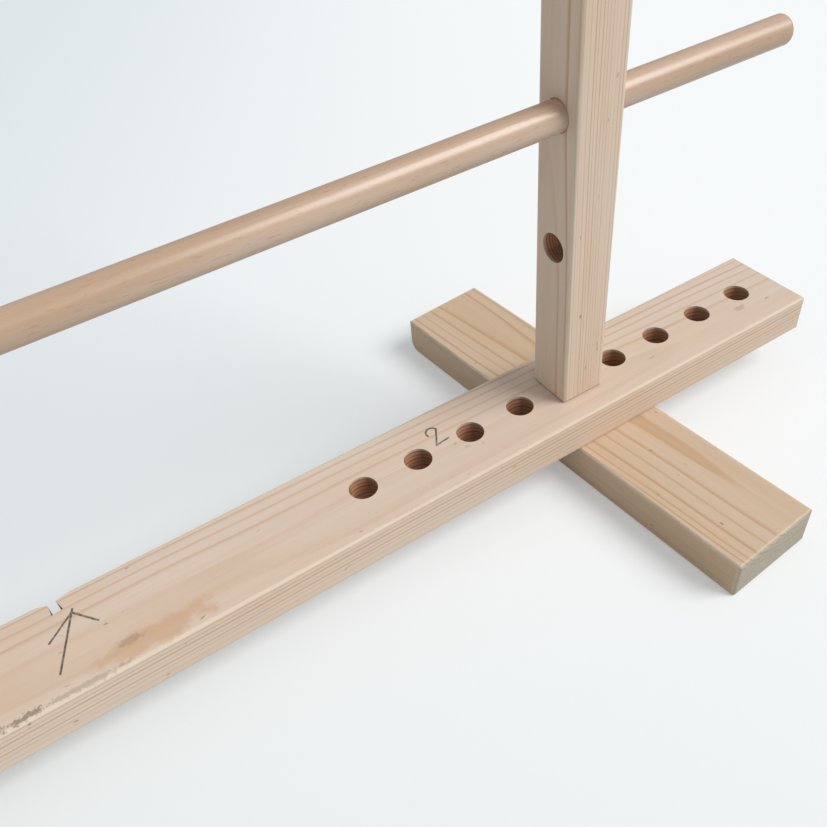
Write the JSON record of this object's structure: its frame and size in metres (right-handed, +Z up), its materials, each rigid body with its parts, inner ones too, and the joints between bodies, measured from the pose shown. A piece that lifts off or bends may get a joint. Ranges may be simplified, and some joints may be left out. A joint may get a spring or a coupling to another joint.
{
  "type": "blocking board",
  "caption": "Adjustable wooden blocking frame for knitted garments: a drilled base beam on two cross feet, two square uprights on pegs, and round rods through them.",
  "frame": {"origin": "on the floor, under the middle of the base beam", "axes": "+X along the base beam towards the end that the picture shows, +Y towards the back, +Z up"},
  "size_m": [1.08, 0.324, 0.936],
  "materials": {
    "pine": "planed, unfinished",
    "pine_feet": "planed, unfinished, handled",
    "beech": "turned, smooth",
    "zinc": "zinc plated"
  },
  "bodies": {
    "base": {"base_beam": "pine", "foot_screws": "zinc", "foot_washers": "zinc"},
    "left_foot_body": {"left_foot": "pine_feet"},
    "right_foot_body": {"right_foot": "pine_feet"},
    "left_post": {"left_upright": "pine", "left_peg": "beech"},
    "right_post": {"right_upright": "pine", "right_peg": "beech"},
    "lower_rod_body": {"lower_rod": "beech"},
    "upper_rod_body": {"upper_rod": "beech"}
  },
  "joints": [
    {"name": "right_upright_lift", "type": "slide", "parent": "base", "child": "right_post", "axis": [0, 0, 1], "range_m": [0, 0.06]},
    {"name": "left_upright_lift", "type": "slide", "parent": "base", "child": "left_post", "axis": [0, 0, 1], "range_m": [0, 0.06]},
    {"name": "lower_rod_slide", "type": "slide", "parent": "right_post", "child": "lower_rod_body", "axis": [1, 0, 0], "range_m": [-0.13, 0.13]},
    {"name": "upper_rod_slide", "type": "slide", "parent": "right_post", "child": "upper_rod_body", "axis": [1, 0, 0], "range_m": [-0.13, 0.13]},
    {"name": "left_foot_swivel", "type": "hinge", "parent": "base", "child": "left_foot_body", "pos_m": [-0.362, 0, 0.028], "axis": [0, 0, 1], "range_deg": [-90, 90]},
    {"name": "right_foot_swivel", "type": "hinge", "parent": "base", "child": "right_foot_body", "pos_m": [0.362, 0, 0.028], "axis": [0, 0, 1], "range_deg": [-94.5, 85.5]}
  ],
  "couplings": [
    {"joint": "left_upright_lift", "follows": "right_upright_lift", "ratio": 1}
  ]
}
